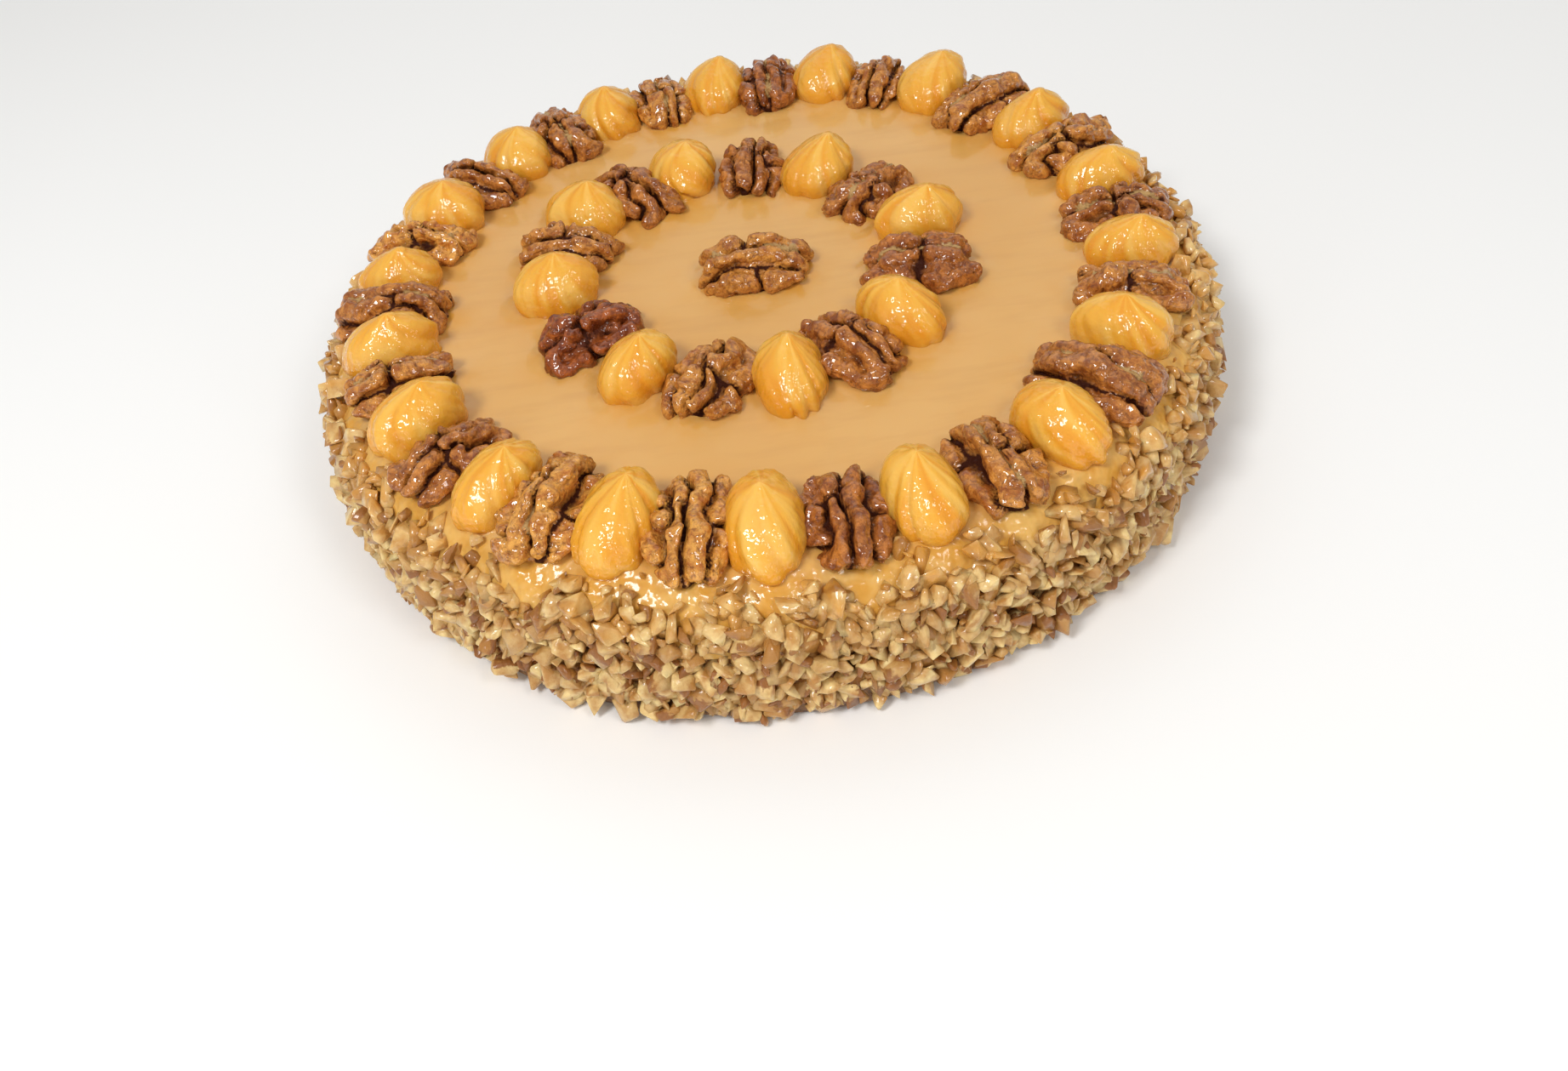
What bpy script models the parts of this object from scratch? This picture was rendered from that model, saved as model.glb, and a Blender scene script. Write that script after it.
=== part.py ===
"""A round walnut layer cake, 26 cm across, uncut.

The cake stands on the plane z = 0 with its axis on Z. Its side carries chopped walnuts, its top
a glossy egg-yolk glaze. On the glaze lie an outer ring of 18 piped rosettes and 18 walnut halves,
an inner ring of 8 and 8, and one walnut half at the centre.
"""

import math
import random

import bmesh
import bpy
from mathutils import Euler, Matrix, Vector

MM = 0.001

# The cake under its toppings; angles run up the shoulder's curve, in degrees above level
COAT_RADIUS = 126.0 * MM
FOOT_RADIUS = 123.0 * MM
BODY_HEIGHT = 34.7 * MM
SHOULDER_DROP = 8.0 * MM
SHOULDER_RUN = 5.5 * MM
SHOULDER_ANGLES = (28, 58, 90)
COAT_STEPS = 96
COAT_LEVELS = 5
COAT_BUMP = 1.0 * MM
COAT_SEED = 3

# The glaze on top, with the clear gap that every solid leaves to the next
GAP = 0.3 * MM
GLAZE_RADIUS = 120.5 * MM
GLAZE_THICKNESS = 4.0 * MM
GLAZE_EDGE = 4.0 * MM
GLAZE_EDGE_ANGLES = (0, 45, 90)
GLAZE_STEPS = 64
GLAZE_TOP = BODY_HEIGHT + GAP + GLAZE_THICKNESS
TOPPING_BASE = GLAZE_TOP + GAP

# Chopped walnuts that stand out of the coat: rows up the side, and the pieces in each row
CHUNK_ROW_HEIGHTS = (5.0 * MM, 12.5 * MM, 20.0 * MM, 27.5 * MM)
CHUNKS_PER_ROW = 22
CHUNK_LENGTH = (8.0 * MM, 11.5 * MM)
CHUNK_SLENDERNESS = (0.6, 0.9)
CHUNK_ROUGHNESS = 0.2
CHUNK_STANDS_OUT = (-2.0 * MM, -0.3 * MM)
# How far a piece strays: along its row, as a share of the step between pieces, and up or down
CHUNK_STRAY_ALONG = 0.25
CHUNK_STRAY_UP = (-1.2 * MM, 1.6 * MM)
CHUNK_LOWEST = 0.4 * MM
CHUNK_SEED = 20

# Piped rosettes, longer along the cake's radius than across it
ROSETTE_LENGTH = 27.0 * MM
ROSETTE_WIDTH = 20.0 * MM
ROSETTE_HEIGHT = 15.5 * MM
ROSETTE_SIZE_SCATTER = 0.05
RIDGES = 9
RIDGE_DEPTH = 0.09
RIDGE_TWIST = 0.5
# How late up a rosette its pull to one side sets in: 1 is a straight lean, more is a hooked tip
PULL_POWER = 1.5
# Height and breadth of a rosette from its foot to just under its tip, as shares
ROSETTE_PROFILE = ((0.0, 0.90), (0.26, 1.0), (0.62, 0.80), (0.88, 0.42))

# Walnut halves, flat side down: length along the cake's radius, width across it
WALNUT_LENGTH = 35.0 * MM
WALNUT_WIDTH = 24.0 * MM
WALNUT_HEIGHT = 13.0 * MM
WALNUT_SEGMENTS = 16
WALNUT_RINGS = 6
WALNUT_SIZE_SCATTER = 0.08
WALNUT_YAW_SCATTER = 12.0
# The groove along a half and the notch across it, as shares of its size
GROOVE_DEPTH = 0.34
GROOVE_SPREAD = 0.3
END_DENT = 0.14
NOTCH_DEPTH = 0.16
NOTCH_SPREAD = 0.3
NOTCH_PLACE = -0.1
LOBE_SCATTER = 0.045
FLAT_FOOT = 0.14

# The decoration as it was laid by hand: (degrees round the cake, millimetres from its axis), and
# how far each rosette's tip is pulled towards +X and +Y, in millimetres
OUTER_ROSETTES = (
    (8, 104, 3.0, -1.0), (29, 105, 3.0, 0.5), (51, 105, 5.0, 2.5), (72, 104, 4.0, 2.0),
    (93, 103, 4.5, 3.0), (114, 104, 0.5, 1.5), (134, 105, 2.5, 2.0), (153, 106, 2.5, 0.5),
    (171, 106, 2.5, 0.0), (189, 105, 2.5, -0.5), (208, 105, 4.0, 1.5), (228, 106, 5.0, 3.0),
    (247, 105, 4.5, 4.5), (266, 105, 0.5, 4.0), (286, 106, -0.5, 3.5), (307, 107, 1.0, 1.0),
    (328, 105, 0.5, 1.0), (349, 103, 3.0, -2.0),
)
INNER_ROSETTES = (
    (10, 49, 3.0, -1.0), (62, 48, 5.0, 1.0), (111, 55, 5.0, 1.0), (144, 62, 3.5, 0.5),
    (181, 58, 2.0, 4.0), (230, 55, 2.5, 1.5), (274, 54, 1.0, 4.0), (315, 50, 0.5, 1.0),
)
# The walnut halves lie a little nearer the axis than the rosettes beside them
OUTER_WALNUT_INSET = 1.0
INNER_WALNUT_INSET = 3.0
CENTRE_WALNUT = (-1.0 * MM, -3.0 * MM)
CENTRE_WALNUT_SCALE = 1.12
CENTRE_WALNUT_YAW = -6.0

# How far the line between a rosette and a walnut leans over the rosette
PARTING_LEAN = math.radians(24.0)
CLEARANCE = 0.2 * MM

# Seeds of the small differences between the toppings of each ring
OUTER_SEED = 11
INNER_SEED = 12
CENTRE_SEED = 5

# Linear colours, each with its roughness
COAT_LOOK = ((0.62, 0.44, 0.22), 0.6)
GLAZE_LOOK = ((0.74, 0.43, 0.15), 0.2)
ROSETTE_LOOK = ((0.93, 0.52, 0.10), 0.3)
WALNUT_LOOK = ((0.33, 0.15, 0.05), 0.35)


# Scene and materials


def clear_scene():
    for obj in list(bpy.data.objects):
        bpy.data.objects.remove(obj, do_unlink=True)


def new_collection(name):
    collection = bpy.data.collections.new(name)
    bpy.context.scene.collection.children.link(collection)
    return collection


def food_material(name, colour, roughness):
    material = bpy.data.materials.new(name)
    material.use_nodes = True
    shader = material.node_tree.nodes["Principled BSDF"]
    shader.inputs["Base Color"].default_value = (*colour, 1.0)
    shader.inputs["Roughness"].default_value = roughness
    shader.inputs["Metallic"].default_value = 0.0
    return material


def add_object(name, mesh, collection, material=None):
    obj = bpy.data.objects.new(name, mesh)
    collection.objects.link(obj)
    if material:
        mesh.materials.append(material)
    return obj


def mesh_from_bmesh(name, form):
    bmesh.ops.recalc_face_normals(form, faces=form.faces)
    mesh = bpy.data.meshes.new(name)
    form.to_mesh(mesh)
    form.free()
    mesh.shade_smooth()
    return mesh


def turned_mesh(name, profile, steps):
    """The solid that a profile of (radius, height) points makes when it turns about Z."""
    outline = bpy.data.meshes.new(name + "_outline")
    points = [(radius, 0.0, height) for radius, height in profile]
    outline.from_pydata(points, [(i, i + 1) for i in range(len(points) - 1)], [])
    guide = bpy.data.objects.new(name + "_guide", outline)
    bpy.context.scene.collection.objects.link(guide)
    screw = guide.modifiers.new("Turn", "SCREW")
    screw.steps = screw.render_steps = steps
    screw.use_merge_vertices = True
    screw.merge_threshold = 0.00001
    graph = bpy.context.evaluated_depsgraph_get()
    mesh = bpy.data.meshes.new_from_object(guide.evaluated_get(graph))
    mesh.name = name
    bpy.data.objects.remove(guide, do_unlink=True)
    return mesh


# The cake and its chopped walnuts


def coat_radius(height):
    """Radius of the coat at a height: a near upright side under a rounded shoulder."""
    into_shoulder = (height - (BODY_HEIGHT - SHOULDER_DROP)) / SHOULDER_DROP
    if into_shoulder <= 0:
        return COAT_RADIUS
    return COAT_RADIUS - SHOULDER_RUN * (1 - math.sqrt(max(0.0, 1 - into_shoulder**2)))


def cake_profile():
    """The cake's outline from the middle of its top, down the side, to the middle of its foot."""
    side_top = BODY_HEIGHT - SHOULDER_DROP
    profile = [(0.0, BODY_HEIGHT)]
    for angle in reversed(SHOULDER_ANGLES):
        height = side_top + SHOULDER_DROP * math.sin(math.radians(angle))
        profile.append((coat_radius(height), height))
    for level in range(COAT_LEVELS):
        profile.append((COAT_RADIUS, side_top * (1 - level / COAT_LEVELS)))
    profile += [(FOOT_RADIUS, 0.0), (0.0, 0.0)]
    return profile


def roughen_coat(mesh):
    """Moves the side's points, which lie a nut's breadth apart, in and out at random."""
    draw = random.Random(COAT_SEED)
    for vertex in mesh.vertices:
        radius = math.hypot(vertex.co.x, vertex.co.y)
        if radius > FOOT_RADIUS + GAP:
            bump = draw.uniform(-COAT_BUMP, COAT_BUMP)
            vertex.co.x *= (radius + bump) / radius
            vertex.co.y *= (radius + bump) / radius


def chunk_mesh(name, draw):
    """One angular piece of chopped walnut, as an uneven ball of 20 facets."""
    length = draw.uniform(*CHUNK_LENGTH) / 2
    width = length * draw.uniform(*CHUNK_SLENDERNESS)
    form = bmesh.new()
    bmesh.ops.create_icosphere(form, subdivisions=1, radius=1.0)
    for vertex in form.verts:
        uneven = 1 + draw.uniform(-CHUNK_ROUGHNESS, CHUNK_ROUGHNESS)
        vertex.co *= uneven
        vertex.co = (vertex.co.x * length, vertex.co.y * width, vertex.co.z * width)
    return mesh_from_bmesh(name, form)


def scatter_chunks(collection):
    """Rows of chopped pieces, each turned at random and sunk to about its middle in the coat."""
    draw = random.Random(CHUNK_SEED)
    for row, row_height in enumerate(CHUNK_ROW_HEIGHTS):
        for place in range(CHUNKS_PER_ROW):
            stray = draw.uniform(-CHUNK_STRAY_ALONG, CHUNK_STRAY_ALONG)
            turn = 2 * math.pi * (place + 0.5 * (row % 2) + stray) / CHUNKS_PER_ROW
            height = row_height + draw.uniform(*CHUNK_STRAY_UP)
            radius = coat_radius(height) + draw.uniform(*CHUNK_STANDS_OUT)
            chunk = add_object(f"chunk_{row}_{place}", chunk_mesh("chunk", draw), collection)
            attitude = Euler([draw.uniform(0, math.pi) for _ in range(3)])
            chunk.data.transform(attitude.to_matrix().to_4x4())
            lowest = min(vertex.co.z for vertex in chunk.data.vertices)
            height = max(height, CHUNK_LOWEST - lowest)
            chunk.location = (radius * math.cos(turn), radius * math.sin(turn), height)


def build_cake(collection, material):
    mesh = turned_mesh("cake", cake_profile(), COAT_STEPS)
    roughen_coat(mesh)
    cake = add_object("cake", mesh, collection, material)
    chunks = new_collection("chopped_walnuts")
    scatter_chunks(chunks)
    bpy.context.view_layer.update()
    union = cake.modifiers.new("Fuse", "BOOLEAN")
    union.operation = "UNION"
    union.operand_type = "COLLECTION"
    union.collection = chunks
    union.solver = "EXACT"
    graph = bpy.context.evaluated_depsgraph_get()
    cake.data = bpy.data.meshes.new_from_object(cake.evaluated_get(graph))
    cake.modifiers.clear()
    for chunk in list(chunks.objects):
        bpy.data.objects.remove(chunk, do_unlink=True)
    bpy.data.collections.remove(chunks)
    keep_largest_body(cake.data)
    return cake


def keep_largest_body(mesh):
    """Drops scraps and sealed hollows, which fusing many small pieces can leave."""
    form = bmesh.new()
    form.from_mesh(mesh)
    left = set(form.verts)
    bodies = []
    while left:
        body = []
        front = [left.pop()]
        while front:
            vertex = front.pop()
            body.append(vertex)
            near = {edge.other_vert(vertex) for edge in vertex.link_edges} & left
            left -= near
            front += near
        bodies.append(body)
    bodies.sort(key=len)
    for body in bodies[:-1]:
        bmesh.ops.delete(form, geom=body, context="VERTS")
    form.to_mesh(mesh)
    form.free()


def build_glaze(collection, material):
    """The glaze: a thin disc whose edge rounds over towards the cake's shoulder."""
    low = BODY_HEIGHT + GAP
    profile = [(0.0, GLAZE_TOP)]
    for angle in reversed(GLAZE_EDGE_ANGLES):
        across = GLAZE_EDGE * math.cos(math.radians(angle))
        rise = GLAZE_THICKNESS * math.sin(math.radians(angle))
        profile.append((GLAZE_RADIUS - GLAZE_EDGE + across, low + rise))
    profile.append((0.0, low))
    return add_object("glaze", turned_mesh("glaze", profile, GLAZE_STEPS), collection, material)


# Rosettes and walnut halves


def rosette_mesh(name, draw, pull):
    """A piped rosette: ridges run up a rounded cone to a tip that is pulled to one side."""
    form = bmesh.new()
    rings = len(ROSETTE_PROFILE) + 1
    bmesh.ops.create_uvsphere(form, u_segments=2 * RIDGES, v_segments=rings, radius=1.0)
    size = 1 + draw.uniform(-ROSETTE_SIZE_SCATTER, ROSETTE_SIZE_SCATTER)
    levels = sorted({round(vertex.co.z, 4) for vertex in form.verts})
    for vertex in form.verts:
        level = levels.index(round(vertex.co.z, 4))
        around = math.atan2(vertex.co.y, vertex.co.x)
        if level == 0:
            vertex.co = (0, 0, 0)
        elif level == len(levels) - 1:
            vertex.co = pull + Vector((0, 0, ROSETTE_HEIGHT * size))
        else:
            share, breadth = ROSETTE_PROFILE[level - 1]
            ridge = 1 + RIDGE_DEPTH * (math.sin(RIDGES * around) - 1)
            reach = breadth * ridge * size / 2
            across = around + RIDGE_TWIST * share
            vertex.co = Vector((
                ROSETTE_LENGTH * reach * math.cos(across),
                ROSETTE_WIDTH * reach * math.sin(across),
                ROSETTE_HEIGHT * share * size,
            )) + pull * share**PULL_POWER
    return mesh_from_bmesh(name, form)


def walnut_mesh(name, draw, scale):
    """A walnut half: a dome parted by a groove along it and a notch across it into four lobes."""
    form = bmesh.new()
    bmesh.ops.create_uvsphere(form, u_segments=WALNUT_SEGMENTS, v_segments=WALNUT_RINGS, radius=1.0)
    scatter = [1 + draw.uniform(-LOBE_SCATTER, LOBE_SCATTER) for _ in range(WALNUT_SEGMENTS)]
    size = scale * (1 + draw.uniform(-WALNUT_SIZE_SCATTER, WALNUT_SIZE_SCATTER))
    for vertex in form.verts:
        around = math.atan2(vertex.co.y, vertex.co.x) / (2 * math.pi)
        outline = scatter[round(around * WALNUT_SEGMENTS) % WALNUT_SEGMENTS] * size / 2
        groove = math.exp(-((vertex.co.y / GROOVE_SPREAD) ** 2))
        notch = math.exp(-(((vertex.co.x - NOTCH_PLACE) / NOTCH_SPREAD) ** 2)) * abs(vertex.co.y)
        rise = max(0.0, (0.5 + 0.5 * vertex.co.z - FLAT_FOOT) / (1 - FLAT_FOOT))
        vertex.co = Vector((
            WALNUT_LENGTH * vertex.co.x * outline * (1 - END_DENT * groove),
            WALNUT_WIDTH * vertex.co.y * outline * (1 - NOTCH_DEPTH * notch),
            WALNUT_HEIGHT * rise * size * (1 - GROOVE_DEPTH * groove * rise),
        ))
    return mesh_from_bmesh(name, form)


def parting_plane(start, end, start_is_rosette):
    """The leaning plane between two neighbours, as a point on it and its direction, start to end."""
    a, b = Vector((*start, 0)), Vector((*end, 0))
    along = (b - a).normalized()
    half_rosette = ROSETTE_WIDTH / 2 + CLEARANCE
    distance = (b - a).length
    from_start = half_rosette if start_is_rosette else distance - half_rosette
    lean = math.sin(PARTING_LEAN) * (1 if start_is_rosette else -1)
    direction = along * math.cos(PARTING_LEAN) + Vector((0, 0, lean))
    return a + along * from_start + Vector((0, 0, TOPPING_BASE)), direction


def keep_behind(obj, point, direction):
    """Pushes the object's points back behind a plane, level and square to the plane's foot."""
    bpy.context.view_layer.update()
    to_world = obj.matrix_world.copy()
    to_local = to_world.inverted()
    level = Vector((direction.x, direction.y, 0))
    for vertex in obj.data.vertices:
        world = to_world @ vertex.co
        past = (world - point).dot(direction) + CLEARANCE
        if past > 0:
            world -= level * (past / level.length_squared)
            vertex.co = to_local @ world


def ring_spot(degrees, radius_mm):
    turn = math.radians(degrees)
    return radius_mm * MM * math.cos(turn), radius_mm * MM * math.sin(turn)


def ring_of_toppings(ring, rosettes, inset, collection, cream, kernel, seed):
    """Rosettes at their places and a walnut half midway between each and the next."""
    draw = random.Random(seed)
    spots = []
    for number, (degrees, radius, *_) in enumerate(rosettes):
        next_degrees, next_radius = rosettes[(number + 1) % len(rosettes)][:2]
        middle = degrees + ((next_degrees - degrees) % 360) / 2
        spots.append(("rosette", degrees, ring_spot(degrees, radius)))
        spots.append(("walnut", middle, ring_spot(middle, (radius + next_radius) / 2 - inset)))
    toppings = []
    for index, (kind, degrees, spot) in enumerate(spots):
        name = f"{kind}_{ring}_{index // 2 + 1:02d}"
        turn = math.radians(degrees)
        if kind == "rosette":
            # The pull is given along the cake's axes, so it is turned into the rosette's own
            pull = Matrix.Rotation(-turn, 3, "Z") @ Vector((*rosettes[index // 2][2:], 0)) * MM
            obj = add_object(name, rosette_mesh(name, draw, pull), collection, cream)
        else:
            turn += math.radians(draw.uniform(-WALNUT_YAW_SCATTER, WALNUT_YAW_SCATTER))
            obj = add_object(name, walnut_mesh(name, draw, 1.0), collection, kernel)
        obj.location = (*spot, TOPPING_BASE)
        obj.rotation_euler = (0, 0, turn)
        toppings.append(obj)
    for index, (kind, _, spot) in enumerate(spots):
        after = (index + 1) % len(spots)
        point, direction = parting_plane(spot, spots[after][2], kind == "rosette")
        keep_behind(toppings[index], point, direction)
        keep_behind(toppings[after], point, -direction)


def main():
    clear_scene()
    parts = new_collection("walnut_cake_solids")
    coat = food_material("nut_coat", *COAT_LOOK)
    glaze = food_material("glaze", *GLAZE_LOOK)
    cream = food_material("egg_cream", *ROSETTE_LOOK)
    kernel = food_material("walnut", *WALNUT_LOOK)
    build_cake(parts, coat)
    build_glaze(parts, glaze)
    ring_of_toppings("outer", OUTER_ROSETTES, OUTER_WALNUT_INSET, parts, cream, kernel, OUTER_SEED)
    ring_of_toppings("inner", INNER_ROSETTES, INNER_WALNUT_INSET, parts, cream, kernel, INNER_SEED)
    centre_mesh = walnut_mesh("walnut_centre", random.Random(CENTRE_SEED), CENTRE_WALNUT_SCALE)
    centre = add_object("walnut_centre", centre_mesh, parts, kernel)
    centre.location = (*CENTRE_WALNUT, TOPPING_BASE)
    centre.rotation_euler = (0, 0, math.radians(CENTRE_WALNUT_YAW))


main()
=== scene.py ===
"""Looks of a round walnut layer cake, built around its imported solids.

The glaze, the nut coat, each piped rosette and each walnut half is a fine mesh that stands where its
solid stands. Lengths in this script are in millimetres until a mesh is made, which is in metres.
Where a comment says nothing else, a pair of numbers is the range of a random draw or the two ends of
a smooth step.
"""

import math
from collections import namedtuple

import bmesh
import bpy
import numpy as np
from mathutils import Matrix, Vector


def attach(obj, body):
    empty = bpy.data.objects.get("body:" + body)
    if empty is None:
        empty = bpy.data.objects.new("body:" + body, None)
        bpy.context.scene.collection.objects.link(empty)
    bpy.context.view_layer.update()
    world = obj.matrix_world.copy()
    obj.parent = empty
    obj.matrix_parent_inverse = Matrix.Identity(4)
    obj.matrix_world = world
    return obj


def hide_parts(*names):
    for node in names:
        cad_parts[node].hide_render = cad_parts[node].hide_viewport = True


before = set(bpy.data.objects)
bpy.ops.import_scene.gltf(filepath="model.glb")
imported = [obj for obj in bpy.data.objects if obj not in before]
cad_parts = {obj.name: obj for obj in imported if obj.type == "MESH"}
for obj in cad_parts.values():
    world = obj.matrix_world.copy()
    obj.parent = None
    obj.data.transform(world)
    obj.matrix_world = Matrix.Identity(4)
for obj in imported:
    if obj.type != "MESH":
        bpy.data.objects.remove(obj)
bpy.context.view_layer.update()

MM = 0.001

# The camera, worked out from the ring of rosettes in the photograph
PHOTO_SIZE = (1843, 1259)
FOCAL_PIXELS = 1623.0
PRINCIPAL_PIXEL = (885.0, 330.0)
SENSOR_WIDTH = 36.0
CAMERA_PLACE = (-1.8, -321.0, 271.7)
CAMERA_TILT = 36.36
CAMERA_ROLL = -8.50
CAMERA_NEAREST = 0.01

# Square soft lights: name, place and size in metres, power in watts
LIGHTS = (
    ("key", (-0.45, -0.55, 0.98), 0.30, 7.0),
    ("fill", (0.45, -0.60, 0.85), 0.25, 2.0),
    ("low_left", (-0.50, -0.75, 0.16), 0.12, 0.55),
    ("low_right", (0.40, -0.80, 0.20), 0.12, 0.45),
    ("back", (0.1, 0.8, 0.9), 1.2, 2.4),
)
LIT_POINT = (0, 0, 0.03)
ROOM_COLOUR = (1.0, 0.99, 0.97, 1)
ROOM_STRENGTH = 0.43

# The floor, in metres; it lies a little lower than the cake's underside
FLOOR_SIZE = 6.0
FLOOR_DROP = 0.0002

# The glaze: a nearly level top that runs over the shoulder and down behind the nuts
GLAZE_SEED = 41
GLAZE_LEVEL = 39.0
GLAZE_FLAT_RADIUS = 110.0
GLAZE_EDGE_WIDTH = 9.0
GLAZE_RING_STEP = 1.6
GLAZE_SEGMENTS = 380
GLAZE_WAVES = 0.25
GLAZE_WAVE_SIZE = 38.0
GEL_LUMPS = 0.75
GEL_LUMP_SIZE = 6.5
GEL_LUMP_RISE = 0.6
# From the level top to where the glaze ends behind the nuts: (radius, height)
SHOULDER = (
    (112.0, 39.0), (114.6, 38.75), (117.0, 38.0), (119.2, 36.8), (121.0, 35.2), (122.4, 33.2),
    (123.3, 31.0), (123.8, 28.6), (124.0, 26.0), (124.0, 23.0),
)

# Gel drawn up round the foot of each topping, less so on the shoulder
GEL_CLIMB = {"rosette": 1.5, "walnut": 1.2}
GEL_REACH = 1.6
POOL_REACH = 3.0
CLIMB_LOST_AT_EDGE = 0.6

# The cake behind the nuts
CORE_SEED = 42
CORE_RADIUS = 123.2
CORE_FOOT_RADIUS = 121.5
CORE_TOP = 30.0
CORE_TOP_INSET = 6.0
CORE_TOP_RISE = 1.0
CORE_SEGMENTS = 320
CORE_RING_STEP = 2.4
CORE_LUMPS = 0.9
CORE_LUMP_SIZE = 5.0
CORE_SMOOTH_FOOT = 3.0

# Shapes of chopped walnut, about 1 long, and how much brown skin they carry
CHIP_SEED = 60
CHIP_KINDS = 36
CHIP_POINTS = (9, 14)
CHIP_BREADTH = (0.6, 0.95)
CHIP_THICKNESS = (0.35, 0.75)
CHIP_SQUARENESS = 0.7
CHIP_FLAT_ANGLE = 0.15
CHIP_BEVEL = 0.12
BROWN_CHIP_SIZE = 0.75
BROWN_REACH = 1.25
SKIN_REACH = (0.0, 0.55)
SKIN_EDGE = 0.5
BARE_SHARE = 0.5

# The line that the nuts follow up the side and over the shoulder: (radius, height)
COAT_LINE = (
    (122.6, 2.8), (123.6, 6.0), (124.2, 12.0), (124.4, 18.0), (124.4, 24.0), (124.2, 28.0),
    (123.4, 31.5), (122.0, 34.2), (119.8, 36.4), (117.2, 37.9), (114.5, 38.8),
)
COAT_RADIUS = 124.0
COAT_RUN = 49.0
# On the shoulder the nuts stand out further and gel covers them
SHOULDER_HEIGHTS = (27.0, 34.0)
SHOULDER_LIFT = 0.9
GEL_HEIGHTS = (27.0, 36.0)
# Above this height a nut keeps clear of the toppings' feet by a share of its length
TOPPINGS_HEIGHT = 33.5
CHIP_CLEARANCE = 0.3
CHIP_LOWEST = 0.2
PATCH_SEED = 45
PATCH_SIZE = 17.0
PATCH_DEPTH = 0.14

# Layers of chopped nuts: least spacing, places tried, lengths, how far they stand out, the share that
# is brown all over, and how full the layer is at each share of the way up the coat
NutLayer = namedtuple("NutLayer", "spacing tries lengths stand brown fullness")
COARSE_NUTS = NutLayer(
    4.3, 20000, (5.5, 9.2), (-0.4, 1.8), 0.06,
    lambda share: 1.0 if share < 0.96 else 1 - (share - 0.96) * 8,
)
FINE_NUTS = NutLayer(
    4.0, 9000, (3.0, 5.5), (0.2, 1.8), 0.10,
    lambda share: 0.6 if share < 0.9 else 0.4,
)
NUTS_BEHIND = NutLayer(
    3.5, 20000, (6.0, 9.0), (-1.6, -0.2), 0.10,
    lambda share: 1.0 if share < 0.82 else 0.25,
)

# Toppings: the radius of their outer ring, and how much of a solid counts as its foot
RING_RADIUS = 105.0
FOOT_HEIGHT = 0.1

# Rosettes
ROSETTE_SEED = 300
ROSETTE_NOISE_SEED = 500
ROSETTE_SEGMENTS = 108
ROSETTE_ROWS = 30
ROW_SPREAD = 0.9
ROSETTE_SWELL = 1.08
BACK_SWELL = 0.14
ROSETTE_SUNK = 0.4
HOOK_POWER = 1.7
# A rosette's breadth at each height, both as shares: a pointed bulb and a plump dome
ROSETTE_BULB = (
    (0.0, 0.95), (0.12, 0.99), (0.28, 0.99), (0.46, 0.91), (0.62, 0.74), (0.75, 0.53), (0.85, 0.34),
    (0.92, 0.20), (0.965, 0.15), (0.99, 0.11), (1.0, 0.02),
)
ROSETTE_DOME = (
    (0.0, 0.88), (0.12, 0.96), (0.28, 1.0), (0.46, 0.98), (0.62, 0.90), (0.76, 0.74), (0.86, 0.52),
    (0.93, 0.27), (0.97, 0.17), (0.99, 0.12), (1.0, 0.02),
)
PLUMPNESS = (0.1, 0.9)
# Its ridges: how many, how far they turn on the way up, and how often round and how much they crowd
RIDGE_COUNTS = (7, 8, 8, 9)
RIDGE_TWIST = (0.4, 1.1)
RIDGE_CROWDING = ((2, 0.14), (3, 0.12))
RIDGE_DEPTH = 0.13
RIDGE_UNEVENNESS = (0.35, 1.45)
GROOVE_SOFTNESS = 0.14
# Where noise lets the ridges fade away, and where all of them fade towards the tip
FADE_NOISE = (-0.4, 0.35)
FADE_SIZE = 6.5
TIP_FADE = 0.6
TIP_HEIGHTS = (0.72, 0.95)
# What is left of a ridge's depth and of the painted shade in a groove where the ridges have faded away
FADED_DEPTH = 0.2
FADED_GROOVE = 0.3
# The nozzle's fine teeth, and the star that its foot keeps
TEETH_DEPTH = 0.012
TEETH_HEIGHTS = (0.2, 0.5)
STAR_FOOT = 0.07
STAR_LEVEL = 0.6
STAR_HEIGHTS = (0.22, 0.0)
# Soft bulges and dimples, as depth and size, which end below the tip
BULGES = (0.75, 7.0)
DIMPLES = (0.2, 2.6)
BULGE_HEIGHTS = (1.0, 0.7)
# Noise that follows the twist is read on a drum of this radius
DRUM_RADIUS = 9.0
STREAK_DRUM_HEIGHT = 4.0
STREAK_SIZE = 2.0
LOW_HEIGHTS = (0.75, 0.05)

# Walnut halves: the grid they are drawn on, and their size against their solids
WALNUT_SEED = 700
WALNUT_NOISE_SEED = 800
WALNUT_STEP = 0.57
WALNUT_MARGIN = 3.2
WALNUT_SUNK = 1.2
WALNUT_LENGTH = 1.03
WALNUT_WIDTH = 1.12
BACK_NARROWING = 0.12
# Folds: their radius on a half of the usual length, and how unlike each other they are
FOLD_RADIUS = (2.5, 3.0)
USUAL_LENGTH = 31.0
LARGEST_SCALE = 1.15
FOLD_THICKNESS = (0.8, 1.15)
FOLD_LIFT = (-0.8, 0.6)
KNOT_THICKNESS = (0.88, 1.1)
KNOT_LIFT = (-0.5, 0.5)
MIDDLE_THICKNESS = 0.75
MIDDLE_DEPTH = 2.4
DOME_FALL = 0.88
DOME_LEAST = 0.10
# The bends of the whole half, as depth and size, and the grain of its surface
LARGE_BENDS = (1.4, 6.5)
SMALL_BENDS = (0.5, 2.8)
LARGE_GRAIN = (0.45, 2.4)
SMALL_GRAIN = (0.15, 1.1)
# Creases between folds, and furrows that wander over them
FISSURE = 2.2
FISSURE_SPREAD = 0.85
FURROW = 0.6
FURROW_SIZE = 3.1
FURROW_WIDTH = 0.22
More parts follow.
